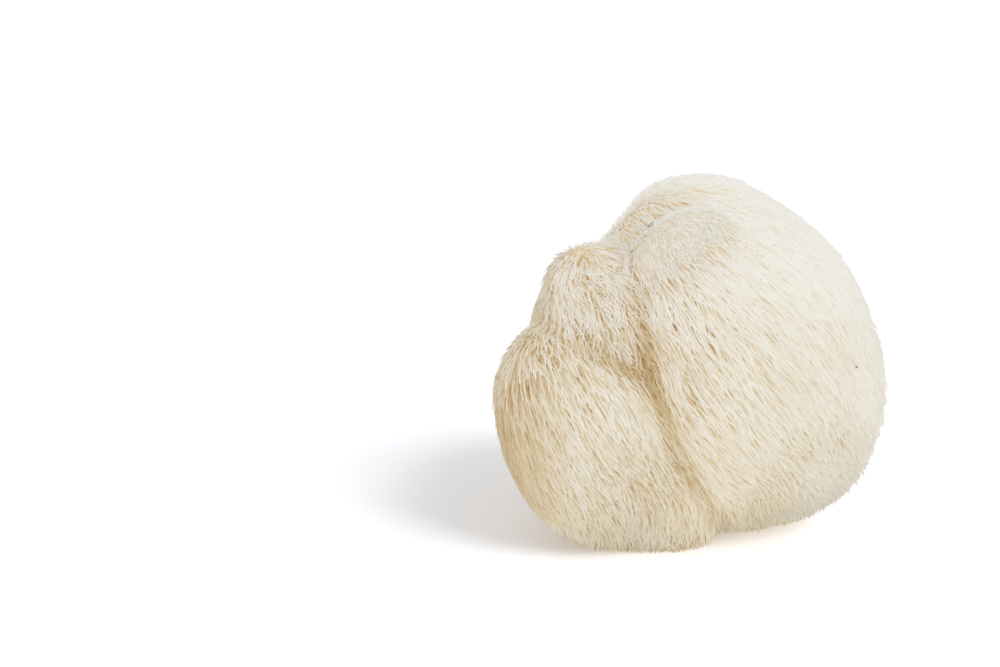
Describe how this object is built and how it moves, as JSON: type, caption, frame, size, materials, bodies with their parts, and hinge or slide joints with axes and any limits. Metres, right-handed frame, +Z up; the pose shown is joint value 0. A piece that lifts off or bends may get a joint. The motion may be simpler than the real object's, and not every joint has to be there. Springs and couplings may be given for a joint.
{
  "type": "lion's mane mushroom",
  "caption": "Whole lion's mane mushroom: a rounded, lobed fruit body with deep creases and a dense coat of hanging spines, resting on its flat cut foot.",
  "frame": {"origin": "middle of the underside: the centre of the box seen from above, at the height of the flat cut", "axes": "+Z up from the surface it rests on, -Y towards the front that shows the crease between the two large lobes, +X towards the large main lobe"},
  "size_m": [0.1286, 0.1139, 0.1143],
  "materials": {
    "mushroom_flesh": "matte, soft and slightly translucent, creamy white with tan roots between the spines"
  },
  "bodies": {
    "root": {"fruit_body": "mushroom_flesh"}
  },
  "joints": []
}
